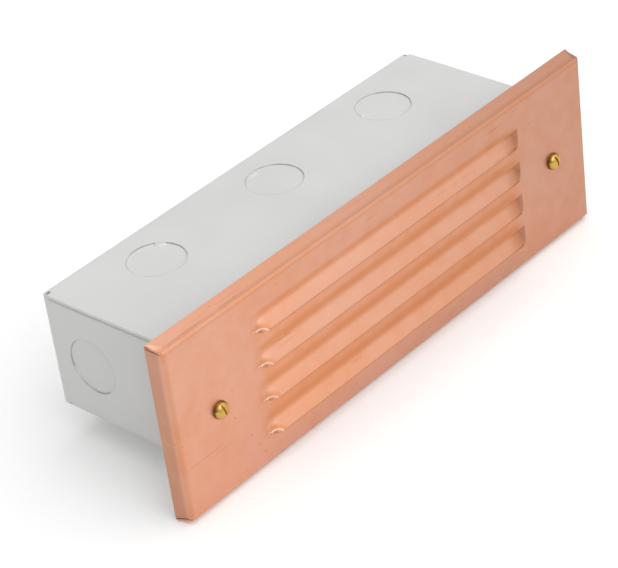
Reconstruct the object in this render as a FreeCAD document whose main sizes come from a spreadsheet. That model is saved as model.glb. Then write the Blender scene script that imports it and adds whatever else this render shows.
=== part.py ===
import FreeCAD, Part
import math
import os
import re
import Sketcher

# Recessed louvred step light. The row frame has +X along the plate, +Y into the wall and +Z up,
# and its origin lies at the centre of the housing's back face, so the whole light has y <= 0.

document = FreeCAD.newDocument("step_light")
sheet = document.addObject("Spreadsheet::Sheet", "Sizes")

SIZES = (
    ("housing_width", 203.0, "outside width of the recessed box"),
    ("housing_height", 49.0, "outside height of the box"),
    ("housing_depth", 70.7, "back face to the open front edge"),
    ("housing_sheet", 1.2, "folded steel sheet"),
    ("housing_bend", 1.6, "outside radius of the folds round the back panel"),
    ("corner_round", 2.0, "rounding of a back corner seen from behind"),
    ("seam_gap", 0.15, "gap between an end's tucked flange and the sheet over it"),
    ("seam_start", 3.0, "where the seams begin, in front of the back face"),
    ("seam_spread_start", 17.0, "where the top sheet starts to fall short of the end wall"),
    ("top_setback", 0.7, "top sheet inside the end wall's face at the front edge"),
    ("bottom_setback", 1.2, "bottom sheet inside the end wall's face"),
    ("flange_width", 9.0, "tucked flange of each end wall"),
    ("relief_radius", 0.85, "corner relief hole where three folds meet"),
    ("relief_inset", 1.5, "relief hole's centre in from the end wall's face"),
    ("relief_place", 2.2, "relief hole's centre from the back face"),
    ("relief_depth", 4.0, "depth of the relief hole"),
    ("knockout_radius", 11.1, "7/8 inch hole for half-inch conduit"),
    ("slug_sink", 0.4, "sheared slug below the sheet's face"),
    ("tab_radius", 1.7, "half width of the tab that holds the slug"),
    ("tab_slope", 65.0, "slope from the tab down to the slug, degrees off the shear"),
    ("top_tab_turn", 38.0, "tab's place round the first slug on the top, degrees"),
    ("tab_turn_step", 61.0, "turn of the tab from one slug to the next"),
    ("end_tab_turn", -30.0, "tab's place round the slugs in the end walls"),
    ("knockout_pitch", 63.5, "spacing of the knockouts along the top"),
    ("knockout_count", 3.0, "knockouts along the top"),
    ("knockout_inset", 20.7, "knockout centre from the back face"),
    ("plate_end_lap", 15.8, "faceplate beyond the housing at each end"),
    ("plate_lap", 12.7, "faceplate beyond the housing above and below"),
    ("rim_depth", 7.3, "front face to the edge that rests on the wall"),
    ("rim_draft", 12.4, "lean of the rim walls, degrees"),
    ("plate_sheet", 1.0, "copper sheet"),
    ("plate_bend", 1.7, "outside radius of the bend round the face"),
    ("plate_corner", 1.0, "corner radius of the rim seen from the front"),
    ("corner_seam", 0.35, "open seam between neighbouring rim walls"),
    ("louvre_count", 4.0, "lanced hoods"),
    ("louvre_pitch", 14.4, "spacing of the hoods"),
    ("louvre_margin", 19.95, "face screw to the tip of a hood"),
    ("louvre_centre", 0.8, "middle of the four hoods above the plate's middle"),
    ("hood_drop", 6.4, "crease to lip"),
    ("hood_crease", 2.5, "hollow radius where a hood leaves the face"),
    ("hood_slope", 40.0, "steepest slope of a hood off the face, degrees"),
    ("lip_slope", 20.0, "slope of a hood at its lip, degrees"),
    ("slit_corner", 3.0, "radius where the slit turns up at a hood's end"),
    ("slit_overlap", 0.5, "restored sheet below the slit's level"),
    ("screw_inset", 6.25, "face screw in from the outside of an end wall"),
    ("screw_shank", 2.05, "radius of the screw thread's crest"),
    ("screw_length", 19.0, "length under the head"),
    ("screw_head", 3.45, "head radius"),
    ("screw_dome", 2.4, "head height"),
    ("screw_slot", 0.9, "width of the driver slot"),
    ("screw_slot_depth", 1.2, "depth of the driver slot"),
    ("screw_slot_angle", 63.0, "turn of the slot from level, degrees"),
    ("screw_hole_gap", 0.3, "clearance round a screw in the plate"),
    ("screw_soft_gap", 0.5, "clearance round a screw in the lens and the gasket"),
    ("thread_gap", 0.05, "clearance of the thread in its ear"),
    ("gasket_thickness", 2.6, "foam as squeezed by the screws"),
    ("gasket_lip", 3.0, "foam outside the housing's edge"),
    ("gasket_band", 8.0, "foam width along the top and the bottom"),
    ("gasket_end_band", 14.0, "foam width at the two ends"),
    ("gasket_corner", 3.0, "corner radius of the foam and the lens"),
    ("lens_thickness", 3.0, "frosted sheet"),
    ("lens_end_lap", 6.5, "frosted sheet beyond the housing at each end"),
    ("lens_lap", 6.0, "frosted sheet beyond the housing above and below"),
    ("ear_sheet", 1.5, "bracket sheet"),
    ("ear_height", 16.0, "bracket height"),
    ("ear_reach", 10.8, "front leg, from the end wall inwards"),
    ("ear_leg", 14.0, "side leg along the end wall"),
    ("ear_bend", 0.8, "inside radius of the bracket"),
    ("ear_setback", 1.0, "bracket behind the housing's front edge"),
    ("ear_collar", 3.2, "radius of the drawn collar round the tapped hole"),
    ("ear_collar_length", 1.6, "length of the drawn collar"),
    ("standoff_height", 12.2, "posts that carry the tray"),
    ("standoff_radius", 3.0, "post, corner to centre of the hexagon"),
    ("standoff_place", 22.0, "posts left and right of the middle"),
    ("standoff_bore_depth", 9.0, "tapped hole in a post"),
    ("small_shank", 1.45, "radius of the tray screws"),
    ("small_head", 2.7, "head radius of the small screws"),
    ("small_head_height", 1.7, "head height of the small screws"),
    ("small_screw_length", 8.0, "length of the tray screws"),
    ("small_gap", 0.15, "clearance round the small screws"),
    ("small_slot", 0.7, "slot width of the small screws"),
    ("small_slot_depth", 0.8, "slot depth of the small screws"),
    ("tray_sheet", 0.8, "reflector sheet"),
    ("tray_end_room", 17.5, "reflector's end from the outside of the end wall"),
    ("tray_gap", 0.7, "reflector's front edge clear of the top and bottom sheets"),
    ("tray_splay", 6.8, "reflector wider at its front edge than at its back, each way"),
    ("tray_front", 48.0, "reflector's front edge from the back face"),
    ("lamp_axis", 12.0, "lamp axis in front of the reflector's back"),
    ("holder_inset", 4.0, "lampholder in from the reflector's end"),
    ("holder_length", 18.0, "lampholder along the lamp"),
    ("holder_half", 8.5, "half width of the lampholder"),
    ("foot_half", 13.4, "half width of the lampholder's foot"),
    ("foot_thickness", 2.5, "lampholder's foot"),
    ("slot_half_width", 6.6, "wedge slot, half width"),
    ("slot_half_height", 2.5, "wedge slot, half height"),
    ("slot_depth", 9.0, "wedge slot depth"),
    ("contact_place", 5.0, "contacts and leads off the lamp axis"),
    ("contact_level", 3.4, "middle of a contact leaf off the slot's middle"),
    ("contact_sheet", 0.4, "contact leaf thickness"),
    ("contact_width", 2.4, "contact leaf width"),
    ("contact_length", 11.0, "contact leaf length"),
    ("contact_gap", 0.25, "room round a contact leaf"),
    ("rivet_radius", 1.4, "lampholder rivets"),
    ("rivet_head", 2.2, "rivet head radius"),
    ("rivet_head_height", 0.8, "rivet head height"),
    ("rivet_place", 11.1, "rivets off the lamp axis"),
    ("rivet_gap", 0.1, "clearance round a rivet"),
    ("wedge_half_width", 6.5, "lamp's pinched base, half width"),
    ("wedge_half_height", 2.4, "lamp's pinched base, half height"),
    ("wedge_in", 8.0, "base inside the holder"),
    ("neck_out", 2.0, "base outside the holder"),
    ("neck_radius", 6.0, "bulb at its base"),
    ("bulb_radius", 8.0, "bulb at its widest"),
    ("bulb_shoulder", 7.0, "where the bulb reaches its full width"),
    ("bulb_straight", 13.0, "straight stretch of the bulb"),
    ("bulb_wall", 0.8, "glass wall"),
    ("filament_reach", 12.0, "filament in front of the holder's mouth"),
    ("filament_half", 2.6, "half spacing of the support posts"),
    ("post_radius", 0.3, "support post"),
    ("coil_radius", 0.6, "filament coil as a plain rod"),
    ("wire_radius", 0.3, "lamp's folded contact wire"),
    ("wire_margin", 1.0, "contact wire short of the base's two ends"),
    ("lead_radius", 0.9, "insulated lead"),
    ("lead_bend", 6.4, "bend radius of a lead"),
    ("lead_run", 3.0, "straight run behind the holder"),
    ("lead_tail", 4.0, "lead inside the holder"),
    ("lead_gap", 0.12, "clearance round a lead"),
    ("block_half", 12.0, "terminal block, half length"),
    ("block_height", 9.0, "terminal block off the tray"),
    ("block_half_width", 9.0, "terminal block, half width"),
    ("clamp_radius", 2.4, "brass terminal tube"),
    ("clamp_half", 10.0, "brass terminal tube, half length"),
    ("lead_short", 2.5, "lead's end inside the mouth of its terminal tube"),
    ("clamp_gap", 0.05, "clearance round a terminal tube"),
    ("clamp_screw_place", 7.0, "clamp screws off the block's middle"),
    ("clamp_screw_radius", 1.2, "clamp screw shank"),
    ("clamp_head_radius", 1.6, "clamp screw head"),
    ("clamp_head_height", 1.4, "clamp screw head"),
    ("block_screw_length", 7.0, "screw that holds the block on the tray"),
    ("ground_inset", 46.5, "grounding boss in from the outside of the left end wall"),
    ("ground_drop", 13.5, "grounding boss below the middle"),
    ("ground_boss_radius", 4.0, "boss, corner to centre of the hexagon"),
    ("ground_boss_height", 5.0, "boss height"),
    ("ground_head", 4.2, "grounding screw's head radius"),
    ("ground_shank", 2.0, "grounding screw's shank radius"),
    ("ground_bore_depth", 4.5, "tapped hole in the boss"),
    ("tip_gap", 0.5, "room under a screw's tip"),
)

for row, (alias, size, note) in enumerate(SIZES, start=1):
    sheet.set("A%d" % row, note)
    sheet.set("B%d" % row, repr(size))
    sheet.setAlias("B%d" % row, alias)
document.recompute()

# Places that several sub-parts share, each worked out from the driving sizes.
PLATE_FRONT = "(housing_depth + gasket_thickness + lens_thickness + plate_sheet)"
RIM_PLANE = "(%s - rim_depth)" % PLATE_FRONT
TRAY_BACK = "(housing_sheet + standoff_height)"
TRAY_FACE = "(%s + tray_sheet)" % TRAY_BACK
AXIS_PLACE = "(%s + lamp_axis)" % TRAY_FACE
SCREW_PLACE = "(housing_width / 2 - screw_inset)"
PLATE_HALF_WIDTH = "(housing_width / 2 + plate_end_lap)"
PLATE_HALF_HEIGHT = "(housing_height / 2 + plate_lap)"
LOUVRE_HALF = "(%s - louvre_margin)" % SCREW_PLACE
TRAY_HALF = "(housing_width / 2 - tray_end_room)"
TRAY_MOUTH = "(housing_height / 2 - housing_sheet - tray_gap - tray_sheet)"
TRAY_BASE = "(%s - tray_splay)" % TRAY_MOUTH
MOUTH_PLACE = "(%s - holder_inset - holder_length)" % TRAY_HALF
HOLDER_MIDDLE = "(%s + holder_length / 2)" % MOUTH_PLACE
GROUND_PLACE = "-(housing_width / 2 - ground_inset)"
LEAD_PLANE = "(%s - block_height / 2)" % TRAY_BACK
LIP_TOP = "(louvre_centre + (louvre_count - 1) * louvre_pitch / 2 - hood_drop / 2)"
HOOD_TURN = "sin(hood_slope * 1deg)"
LIP_TURN = "sin(lip_slope * 1deg)"
HOOD_FULL = "((hood_drop - hood_crease * %s) / (%s - %s))" % (HOOD_TURN, HOOD_TURN, LIP_TURN)
HOOD_RISE = ("(hood_crease * (1 - cos(hood_slope * 1deg))"
             " + %s * (cos(lip_slope * 1deg) - cos(hood_slope * 1deg)))" % HOOD_FULL)

ALIASES = {alias for alias, size, note in SIZES}
subparts = []


def bound(expression):
    """The expression with each size's name pointing at its cell."""
    return re.sub(r"[a-z_]+", lambda word: "Sizes." + word[0] if word[0] in ALIASES else word[0], expression)


def number(expression):
    """The value of an expression now, for a first guess or for shapes set by code."""
    return float(sheet.evalExpression(expression))


def tie(item, **expressions):
    """Bind properties to expressions; a double underscore in a name stands for a dot."""
    for name, expression in expressions.items():
        item.setExpression(name.replace("__", "."), bound(expression))


def place(item, x="0", y="0", z="0", turn=None):
    """Set an object's turn, then bind its place."""
    if turn:
        axis, angle = turn
        item.Placement = FreeCAD.Placement(FreeCAD.Vector(), FreeCAD.Rotation(FreeCAD.Vector(*axis), angle))
    tie(item, Placement__Base__x=x, Placement__Base__y=y, Placement__Base__z=z)


# ---------------------------------------------------------------- sketches and features

def body(label):
    item = document.addObject("PartDesign::Body", label)
    item.Label = label
    subparts.append(item)
    return item


def sketch(item, role, offset="0", up="0"):
    """Sketch on one of the body's planes, moved along its normal and up its own Y axis."""
    profile = item.newObject("Sketcher::SketchObject", item.Label + "_sketch")
    plane = [feature for feature in item.Origin.OriginFeatures if feature.Role == role][0]
    profile.AttachmentSupport = [(plane, "")]
    profile.MapMode = "FlatFace"
    tie(profile, AttachmentOffset__Base__z=offset, AttachmentOffset__Base__y=up)
    return profile


def fix(profile, kind, *where, size):
    """Add a dimension and bind it to its expression."""
    index = profile.addConstraint(Sketcher.Constraint(kind, *where, number(size)))
    profile.setExpression("Constraints[%d]" % index, bound(size))


def arc_between(start, end, radius, turn):
    """Circle centre of the shorter arc from start to end that turns left (+1) or right (-1)."""
    middle = (start + end) * 0.5
    chord = end - start
    reach = math.sqrt(max(radius ** 2 - chord.Length ** 2 / 4, 0.0))
    normal = FreeCAD.Vector(-chord.y, chord.x, 0).normalize()
    return middle + normal * reach * turn


def outline(profile, corners):
    """Closed outline. A corner is (x, y), or (x, y, radius, turn) where an arc leads to it."""
    points = [FreeCAD.Vector(number(corner[0]), number(corner[1]), 0) for corner in corners]
    starts = []
    ends = []
    for index, corner in enumerate(corners):
        start = points[index - 1]
        end = points[index]
        if len(corner) == 2:
            edge = profile.addGeometry(Part.LineSegment(start, end), False)
            starts.append((edge, 1))
            ends.append((edge, 2))
            continue
        radius, turn = corner[2:]
        centre = arc_between(start, end, number(radius), turn)
        circle = Part.Circle(centre, FreeCAD.Vector(0, 0, 1), number(radius))
        first, last = (start, end) if turn > 0 else (end, start)
        low = math.atan2(first.y - centre.y, first.x - centre.x)
        high = math.atan2(last.y - centre.y, last.x - centre.x)
        if high <= low:
            high += 2 * math.pi
        edge = profile.addGeometry(Part.ArcOfCircle(circle, low, high), False)
        starts.append((edge, 1 if turn > 0 else 2))
        ends.append((edge, 2 if turn > 0 else 1))
        fix(profile, "Radius", edge, size=radius)
    for index, corner in enumerate(corners):
        following = (index + 1) % len(corners)
        profile.addConstraint(Sketcher.Constraint("Coincident", *ends[index], *starts[following]))
        fix(profile, "DistanceX", -1, 1, *ends[index], size=corner[0])
        fix(profile, "DistanceY", -1, 1, *ends[index], size=corner[1])


def rectangle(profile, left, low, right, high):
    outline(profile, [(left, low), (right, low), (right, high), (left, high)])


def rounded_rectangle(profile, half_width, half_height, corner):
    inner_x = "(%s - %s)" % (half_width, corner)
    inner_y = "(%s - %s)" % (half_height, corner)
    outline(profile, [
        (inner_x, "-" + half_height),
        (half_width, "-" + inner_y, corner, 1),
        (half_width, inner_y),
        (inner_x, half_height, corner, 1),
        ("-" + inner_x, half_height),
        ("-" + half_width, inner_y, corner, 1),
        ("-" + half_width, "-" + inner_y),
        ("-" + inner_x, "-" + half_height, corner, 1),
    ])


def circle(profile, x, y, radius):
    centre = FreeCAD.Vector(number(x), number(y), 0)
    edge = profile.addGeometry(Part.Circle(centre, FreeCAD.Vector(0, 0, 1), number(radius)), False)
    fix(profile, "DistanceX", -1, 1, edge, 3, size=x)
    fix(profile, "DistanceY", -1, 1, edge, 3, size=y)
    fix(profile, "Radius", edge, size=radius)


def feature(item, kind, profile, length, reverse=False, symmetric=False, draft=None):
    """Pad or pocket of a sketch. A pad follows the plane's normal and a pocket goes against it."""
    document.recompute()
    made = item.newObject("PartDesign::" + kind, item.Label + "_" + kind.lower())
    made.Profile = profile
    made.Reversed = reverse
    if symmetric:
        made.SideType = "Symmetric"
    tie(made, Length=length)
    if draft:
        tie(made, TaperAngle=draft)
    return made


def turned(item, kind, profile, axis, angle=360.0, reverse=False):
    """Revolution or groove of a sketch about one of its own axes."""
    document.recompute()
    made = item.newObject("PartDesign::" + kind, item.Label + "_" + kind.lower())
    made.Profile = profile
    made.ReferenceAxis = (profile, [axis])
    made.Angle = angle
    made.Reversed = reverse
    return made


def round_edges(item, base, chosen, radius):
    """Fillet the edges of the last feature that the test picks."""
    document.recompute()
    names = ["Edge%d" % (index + 1) for index, edge in enumerate(base.Shape.Edges) if chosen(edge.BoundBox)]
    made = item.newObject("PartDesign::Fillet", item.Label + "_fillet")
    made.Base = (base, names)
    tie(made, Radius=radius)
    return made


# ---------------------------------------------------------------- primitives and groups

def solid(kind, name, x="0", y="0", z="0", turn=None, **sizes):
    item = document.addObject("Part::" + kind, name)
    tie(item, **sizes)
    place(item, x, y, z, turn)
    return item


def joined(name, items):
    item = document.addObject("Part::MultiFuse", name)
    item.Shapes = items
    return item


def cut(name, base, tool):
    item = document.addObject("Part::Cut", name)
    item.Base = base
    item.Tool = tool
    return item


def group(label, items):
    """One sub-part made of like solids that stay separate."""
    item = document.addObject("Part::Compound", label)
    item.Label = label
    item.Links = items
    subparts.append(item)
    return item


def subpart(label, item):
    item.Label = label
    subparts.append(item)
    return item


TO_FRONT = ((1, 0, 0), 90)
TO_BACK = ((1, 0, 0), -90)
TO_RIGHT = ((0, 1, 0), 90)
MIRROR_END = ((0, 1, 0), 180)


# ---------------------------------------------------------------- housing

def in_depth(box, low, high):
    return box.YMin > low - 1e-6 and box.YMax < high + 1e-6


def housing_box():
    """One folded blank: a back panel with top, bottom and ends; the ends' flanges tuck under the sheets."""
    item = body("housing_box")
    profile = sketch(item, "XZ_Plane")
    rectangle(profile, "-housing_width / 2", "-housing_height / 2", "housing_width / 2", "housing_height / 2")
    block = feature(item, "Pad", profile, "housing_depth")
    round_edges(item, block, lambda box: in_depth(box, 0, 0), "housing_bend")

    profile = sketch(item, "XZ_Plane", "housing_sheet")
    rectangle(profile, "-housing_width / 2 + housing_sheet", "-housing_height / 2 + housing_sheet",
              "housing_width / 2 - housing_sheet", "housing_height / 2 - housing_sheet")
    cavity = feature(item, "Pocket", profile, "housing_depth", reverse=True)
    floor = -number("housing_sheet")
    round_edges(item, cavity, lambda box: in_depth(box, floor, floor) and box.DiagonalLength > 1,
                "housing_bend - housing_sheet")
    rounded_corners(item)
    for side in ("-", ""):
        for level in ("-", ""):
            end_seam(item, side, level)
            tucked_flange(item, side, level)
            corner_relief(item, side, level)
    setback(item, "", "seam_spread_start", "0", "top_setback")
    setback(item, "-", "seam_start", "bottom_setback", "bottom_setback")
    for index in range(int(number("knockout_count"))):
        knockout(item, lambda depth: sketch(item, "XY_Plane", "housing_height / 2 - " + depth),
                 "(%d - (knockout_count - 1) / 2) * knockout_pitch" % index, "-knockout_inset",
                 "(top_tab_turn + %d * tab_turn_step)" % index, False)
    for side in ("-", ""):
        knockout(item, lambda depth: sketch(item, "YZ_Plane", "%s(housing_width / 2 - %s)" % (side, depth)),
                 "-knockout_inset", "0", "end_tab_turn", side == "-")


def rounded_corners(item):
    """The folds run into each other, so the back corners are round seen from behind."""
    profile = sketch(item, "XZ_Plane")
    for side in ("-", ""):
        for level in ("-", ""):
            turn = 1 if side == level else -1
            outline(profile, [
                (side + "(housing_width / 2 + 1)", level + "(housing_height / 2 + 1)"),
                (side + "(housing_width / 2 + 1)", level + "(housing_height / 2 - corner_round)"),
                (side + "housing_width / 2", level + "(housing_height / 2 - corner_round)"),
                (side + "(housing_width / 2 - corner_round)", level + "housing_height / 2", "corner_round", turn),
                (side + "(housing_width / 2 - corner_round)", level + "(housing_height / 2 + 1)"),
            ])
    feature(item, "Pocket", profile, "seam_start", reverse=True)


def end_seam(item, side, level):
    """Gap under the top or bottom sheet and the rounded fold of the end wall below it."""
    turn = 1 if side == level else -1
    outer = "%s(housing_width / 2 + 1)" % side
    wall = "%s(housing_width / 2)" % side
    shoulder = "%s(housing_width / 2 - housing_bend)" % side
    inner = "%s(housing_width / 2 - housing_sheet - flange_width - 1)" % side
    sheet_under = "%s(housing_height / 2 - housing_sheet)" % level
    flange_top = "%s(housing_height / 2 - housing_sheet - seam_gap)" % level
    fold_low = "%s(housing_height / 2 - housing_sheet - seam_gap - housing_bend)" % level
    profile = sketch(item, "XZ_Plane", "seam_start")
    outline(profile, [
        (outer, sheet_under),
        (inner, sheet_under),
        (inner, flange_top),
        (shoulder, flange_top),
        (wall, fold_low, "housing_bend", -turn),
        (outer, fold_low),
    ])
    feature(item, "Pocket", profile, "housing_depth", reverse=True)


def tucked_flange(item, side, level):
    """The end wall's flange, folded inwards under the top or bottom sheet."""
    profile = sketch(item, "XZ_Plane", "seam_start")
    near = "%s(housing_width / 2 - housing_sheet / 2)" % side
    shoulder = "%s(housing_width / 2 - housing_bend)" % side
    far = "%s(housing_width / 2 - housing_sheet - flange_width)" % side
    top = "%s(housing_height / 2 - housing_sheet - seam_gap)" % level
    low = "%s(housing_height / 2 - housing_sheet * 2 - seam_gap)" % level
    fold = "%s(housing_height / 2 - housing_sheet * 2 - seam_gap - housing_bend)" % level
    outline(profile, [(shoulder, top), (far, top), (far, low), (near, fold)])
    feature(item, "Pad", profile, "housing_depth - seam_start")


def corner_relief(item, side, level):
    """Round relief hole at a back corner, down through the top or up through the bottom."""
    profile = sketch(item, "XY_Plane", "%shousing_height / 2" % level)
    circle(profile, "%s(housing_width / 2 - relief_inset)" % side, "-relief_place", "relief_radius")
    feature(item, "Pocket", profile, "relief_depth", reverse=level == "-")


def setback(item, level, start, at_start, at_front):
    """Trim the top or bottom sheet's two side edges, so the end walls' folds stand out beside them."""
    profile = sketch(item, "XY_Plane", "%shousing_height / 2" % level)
    for side in ("-", ""):
        outline(profile, [
            ("%s(housing_width / 2 - %s)" % (side, at_start), "-" + start),
            ("%s(housing_width / 2 - %s)" % (side, at_front), "-(housing_depth + 1)"),
            ("%s(housing_width / 2 + 1)" % side, "-(housing_depth + 1)"),
            ("%s(housing_width / 2 + 1)" % side, "-" + start),
        ])
    feature(item, "Pocket", profile, "housing_sheet", reverse=level == "-")


def knockout(item, profile_at, x, y, turn, reverse):
    """A slug sheared free and left a little sunk, held by one tab whose metal slopes down to it."""
    profile = profile_at("0")
    circle(profile, x, y, "knockout_radius")
    feature(item, "Pocket", profile, "slug_sink", reverse=reverse)
    profile = profile_at("0")
    circle(profile, "%s + knockout_radius * cos(%s * 1deg)" % (x, turn),
           "%s + knockout_radius * sin(%s * 1deg)" % (y, turn), "tab_radius")
    feature(item, "Pad", profile, "slug_sink", reverse=not reverse, draft="tab_slope")
    profile = profile_at("housing_sheet")
    circle(profile, x, y, "knockout_radius")
    feature(item, "Pad", profile, "slug_sink", reverse=not reverse)


def screw_ear(label, right):
    """Bent bracket welded inside an end wall, with a drawn and tapped hole for a face screw."""
    item = body(label)
    wall = "-(housing_width / 2 - housing_sheet)"
    front = "-(housing_depth - ear_setback)"
    outer_bend = "(ear_bend + ear_sheet)"
    profile = sketch(item, "XY_Plane")
    outline(profile, [
        ("%s + ear_reach" % wall, front),
        ("%s + ear_reach" % wall, "%s + ear_sheet" % front),
        ("%s + %s" % (wall, outer_bend), "%s + ear_sheet" % front),
        ("%s + ear_sheet" % wall, "%s + %s" % (front, outer_bend), "ear_bend", -1),
        ("%s + ear_sheet" % wall, "%s + ear_leg" % front),
        (wall, "%s + ear_leg" % front),
        (wall, "%s + %s" % (front, outer_bend)),
        ("%s + %s" % (wall, outer_bend), front, outer_bend, 1),
    ])
    feature(item, "Pad", profile, "ear_height", symmetric=True)
    profile = sketch(item, "XZ_Plane", "housing_depth - ear_setback")
    circle(profile, "-" + SCREW_PLACE, "0", "ear_collar")
    feature(item, "Pad", profile, "ear_sheet + ear_collar_length", reverse=True)
    profile = sketch(item, "XZ_Plane", "housing_depth")
    circle(profile, "-" + SCREW_PLACE, "0", "screw_shank + thread_gap")
    feature(item, "Pocket", profile, "ear_setback + ear_sheet + ear_collar_length + 1")
    if right:
        place(item, turn=MIRROR_END)


# ---------------------------------------------------------------- faceplate

def faceplate():
    """Copper sheet pressed into a shallow pan, its rim walls meeting at open corner seams."""
    item = body("faceplate")
    profile = sketch(item, "XZ_Plane", RIM_PLANE)
    rounded_rectangle(profile, PLATE_HALF_WIDTH, PLATE_HALF_HEIGHT, "plate_corner")
    block = feature(item, "Pad", profile, "rim_depth", draft="-rim_draft")
    front = -number(PLATE_FRONT)
    round_edges(item, block, lambda box: in_depth(box, front, front), "plate_bend")

    inset = "plate_sheet / cos(rim_draft * 1deg)"
    profile = sketch(item, "XZ_Plane", RIM_PLANE)
    half_width = "(%s - %s)" % (PLATE_HALF_WIDTH, inset)
    half_height = "(%s - %s)" % (PLATE_HALF_HEIGHT, inset)
    rectangle(profile, "-" + half_width, "-" + half_height, half_width, half_height)
    hollow = feature(item, "Pocket", profile, "rim_depth - plate_sheet", reverse=True, draft="-rim_draft")
    floor = -number(PLATE_FRONT + " - plate_sheet")
    round_edges(item, hollow, lambda box: in_depth(box, floor, floor) and box.DiagonalLength > 1,
                "plate_bend - plate_sheet")
    for side in ("-", ""):
        for level in ("-", ""):
            rim_seam(item, side, level)
    louvres(item)
    profile = sketch(item, "XZ_Plane", PLATE_FRONT)
    for side in ("-", ""):
        circle(profile, side + SCREW_PLACE, "0", "screw_shank + screw_hole_gap")
    feature(item, "Pocket", profile, "plate_sheet * 3", symmetric=True)


def rim_seam(item, side, level):
    """Open seam in an end wall of the rim, just under the long wall's inner face."""
    wall = "(%s - plate_sheet / cos(rim_draft * 1deg))" % PLATE_HALF_HEIGHT
    slope = "tan(rim_draft * 1deg)"
    run = "(rim_depth - plate_bend)"
    back = "-%s" % RIM_PLANE
    profile = sketch(item, "YZ_Plane", "%s(%s + 1)" % (side, PLATE_HALF_WIDTH))
    outline(profile, [
        ("%s + 1" % back, "%s(%s + %s)" % (level, wall, slope)),
        ("%s + 1" % back, "%s(%s + %s - corner_seam)" % (level, wall, slope)),
        ("%s - %s" % (back, run), "%s(%s - %s * %s - corner_seam)" % (level, wall, run, slope)),
        ("%s - %s" % (back, run), "%s(%s - %s * %s)" % (level, wall, run, slope)),
    ])
    feature(item, "Pocket", profile, "1 + plate_sheet * 2 + rim_depth * %s" % slope, reverse=side == "-")


def louvres(item):
    """Lanced hoods: slit along the lip and up round both ends, and drawn out into a rounded hood.

    The hood's section is two arcs, hollow at the crease and full down to the lip, and the inner
    face keeps the sheet's thickness by using the same two centres.
    """
    front = "-%s" % PLATE_FRONT
    full_middle = "(%s - %s + %s * cos(lip_slope * 1deg))" % (front, HOOD_RISE, HOOD_FULL)
    straight_half = "(%s - sqrt(hood_drop ^ 2 - slit_corner ^ 2))" % LOUVRE_HALF

    def section(place_along, skin, base):
        """Hood section whose face lies the skin's depth inside the outer face."""
        hollow = "(hood_crease + %s)" % skin
        full = "(%s - %s)" % (HOOD_FULL, skin)
        profile = sketch(item, "YZ_Plane", place_along, up=LIP_TOP)
        outline(profile, [
            (base, "0"),
            (base, "hood_drop"),
            ("%s + %s" % (front, skin), "hood_drop"),
            ("%s - hood_crease + %s * cos(hood_slope * 1deg)" % (front, hollow),
             "hood_drop - %s * %s" % (hollow, HOOD_TURN), hollow, -1),
            ("%s - sqrt(%s ^ 2 - (%s * %s) ^ 2)" % (full_middle, full, HOOD_FULL, LIP_TURN), "0", full, 1),
        ])
        return profile

    def beyond_slit():
        """The two areas outside the slit's turned-up ends, where the sheet stays flat."""
        profile = sketch(item, "XZ_Plane", PLATE_FRONT, up=LIP_TOP)
        for side, turn in (("-", -1), ("", 1)):
            inner = "%s(%s - slit_corner)" % (side, LOUVRE_HALF)
            outer = "%s(%s + hood_drop)" % (side, LOUVRE_HALF)
            outline(profile, [
                (inner, "0"),
                (side + LOUVRE_HALF, "slit_corner", "slit_corner", turn),
                (outer, "slit_corner"),
                (outer, "-slit_overlap"),
                (inner, "-slit_overlap"),
            ])
        return profile

    ends = (("-" + straight_half, True), (straight_half, False))
    originals = []
    for skin, base, grow, spin in (
        ("0", front + " + plate_sheet / 2", "Pad", "Revolution"),
        ("plate_sheet", front + " + plate_sheet * 2", "Pocket", "Groove"),
    ):
        originals.append(feature(item, grow, section("0", skin, base), "2 * " + straight_half, symmetric=True))
        for place_along, reverse in ends:
            originals.append(turned(item, spin, section(place_along, skin, base), "H_Axis", 90.0, reverse))
    originals.append(feature(item, "Pocket", beyond_slit(), HOOD_RISE + " + 1", reverse=True))
    originals.append(feature(item, "Pad", beyond_slit(), "plate_sheet", reverse=True))
    document.recompute()
    row = item.newObject("PartDesign::LinearPattern", "louvre_row")
    row.Originals = originals
    row.Direction = (originals[0].Profile[0], ["V_Axis"])
    row.Reversed = True
    tie(row, Length="(louvre_count - 1) * louvre_pitch", Occurrences="louvre_count")
    item.Tip = row


def diffuser_lens():
    item = body("diffuser_lens")
    profile = sketch(item, "XZ_Plane", "housing_depth + gasket_thickness")
    rounded_rectangle(profile, "(housing_width / 2 + lens_end_lap)", "(housing_height / 2 + lens_lap)",
                      "gasket_corner")
    for side in ("-", ""):
        circle(profile, side + SCREW_PLACE, "0", "screw_shank + screw_soft_gap")
    feature(item, "Pad", profile, "lens_thickness")


def gasket():
    """Foam ring pressed between the lens and the housing's front edge."""
    item = body("gasket")
    half_width = "(housing_width / 2 + gasket_lip)"
    half_height = "(housing_height / 2 + gasket_lip)"
    profile = sketch(item, "XZ_Plane", "housing_depth")
    rounded_rectangle(profile, half_width, half_height, "gasket_corner")
    rectangle(profile, "-(%s - gasket_end_band)" % half_width, "-(%s - gasket_band)" % half_height,
              "%s - gasket_end_band" % half_width, "%s - gasket_band" % half_height)
    for side in ("-", ""):
        circle(profile, side + SCREW_PLACE, "0", "screw_shank + screw_soft_gap")
    feature(item, "Pad", profile, "gasket_thickness")


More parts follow.
